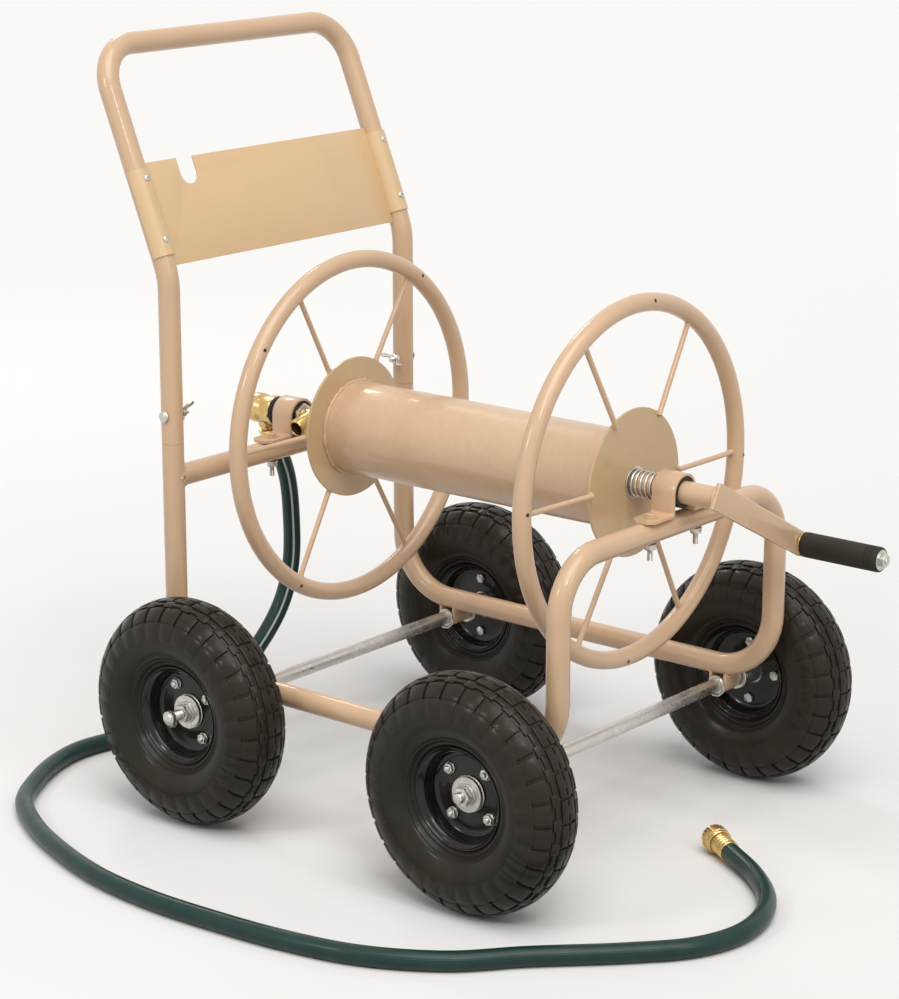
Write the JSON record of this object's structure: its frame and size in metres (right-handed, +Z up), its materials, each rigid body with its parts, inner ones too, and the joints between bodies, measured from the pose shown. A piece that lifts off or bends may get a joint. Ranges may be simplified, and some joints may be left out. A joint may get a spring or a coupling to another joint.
{
  "type": "garden hose reel cart",
  "caption": "Four-wheeled garden hose reel cart: bent-tube frame, pull handle with a sheet plate, hand-cranked spoked reel, pneumatic tyres and a leader hose.",
  "frame": {"origin": "on the ground, under the middle of the cart's bounding box", "axes": "+Z up, +Y towards the pull handle, -Y towards the crank, X across the cart"},
  "size_m": [0.7797, 0.9306, 0.8627],
  "materials": {
    "powder_coat": "glossy tan powder coat",
    "rim_paint": "gloss black paint",
    "zinc": "zinc-plated steel",
    "brass": "machined brass",
    "tyre": "matt tread rubber",
    "seal_rubber": "black rubber",
    "grip_rubber": "matt black ribbed grip",
    "bush_plastic": "black nylon",
    "hose_vinyl": "dark green vinyl with a pale stripe"
  },
  "bodies": {
    "frame": {"chassis_tube": "powder_coat", "rear_cross_bar": "powder_coat", "handle_tube": "powder_coat", "handle_plate": "powder_coat", "front_bearing_strap": "powder_coat", "rear_bearing_strap": "powder_coat", "front_left_axle_bracket": "powder_coat", "front_left_axle_nut": "zinc", "rear_left_axle_bracket": "powder_coat", "rear_left_axle_nut": "zinc", "front_right_axle_bracket": "powder_coat", "front_right_axle_nut": "zinc", "rear_right_axle_bracket": "powder_coat", "rear_right_axle_nut": "zinc", "front_axle": "zinc", "rear_axle": "zinc", "handle_bolt_left": "zinc", "handle_bolt_right": "zinc", "wing_nut_left": "zinc", "wing_nut_right": "zinc", "front_strap_bolt_left": "zinc", "front_strap_bolt_right": "zinc", "rear_strap_bolt_left": "zinc", "rear_strap_bolt_right": "zinc", "front_bush": "bush_plastic", "rear_bush": "bush_plastic", "swivel_elbow": "brass", "swivel_hose_nut": "brass", "hose_ferrule": "brass", "swivel_seal": "seal_rubber", "leader_hose": "hose_vinyl"},
    "reel": {"reel_drum": "powder_coat", "reel_front_disc": "powder_coat", "reel_rear_disc": "powder_coat", "reel_front_ring": "powder_coat", "reel_rear_ring": "powder_coat", "crank_shaft": "powder_coat", "spring_washer": "zinc", "reel_spring": "zinc", "reel_outlet": "brass", "outlet_lock_nut": "zinc", "crank_arm": "powder_coat", "grip_bolt": "zinc", "grip_washer": "brass"},
    "grip": {"crank_grip": "grip_rubber"},
    "front_left_wheel": {"front_left_tyre": "tyre", "front_left_rim": "rim_paint", "front_left_hub": "zinc"},
    "rear_left_wheel": {"rear_left_tyre": "tyre", "rear_left_rim": "rim_paint", "rear_left_hub": "zinc"},
    "front_right_wheel": {"front_right_tyre": "tyre", "front_right_rim": "rim_paint", "front_right_hub": "zinc"},
    "rear_right_wheel": {"rear_right_tyre": "tyre", "rear_right_rim": "rim_paint", "rear_right_hub": "zinc"},
    "coupling": {"hose_coupling_nut": "brass"}
  },
  "joints": [
    {"name": "reel_spin", "type": "hinge", "parent": "frame", "child": "reel", "pos_m": [0, 0, 0.4114], "axis": [0, 1, 0], "continuous": true},
    {"name": "grip_spin", "type": "hinge", "parent": "reel", "child": "grip", "pos_m": [0.16055, -0.35802, 0.32782], "axis": [0, 1, 0], "continuous": true},
    {"name": "front_left_wheel_spin", "type": "hinge", "parent": "frame", "child": "front_left_wheel", "pos_m": [-0.2605, -0.17952, 0.13], "axis": [1, 0, 0], "continuous": true},
    {"name": "rear_left_wheel_spin", "type": "hinge", "parent": "frame", "child": "rear_left_wheel", "pos_m": [-0.2605, 0.22348, 0.13], "axis": [1, 0, 0], "continuous": true},
    {"name": "front_right_wheel_spin", "type": "hinge", "parent": "frame", "child": "front_right_wheel", "pos_m": [0.2605, -0.17952, 0.13], "axis": [1, 0, 0], "continuous": true},
    {"name": "rear_right_wheel_spin", "type": "hinge", "parent": "frame", "child": "rear_right_wheel", "pos_m": [0.2605, 0.22348, 0.13], "axis": [1, 0, 0], "continuous": true},
    {"name": "coupling_spin", "type": "hinge", "parent": "frame", "child": "coupling", "pos_m": [0.03865, -0.281, 0.01625], "axis": [0.5112, 0.8582, 0.0462], "continuous": true}
  ]
}
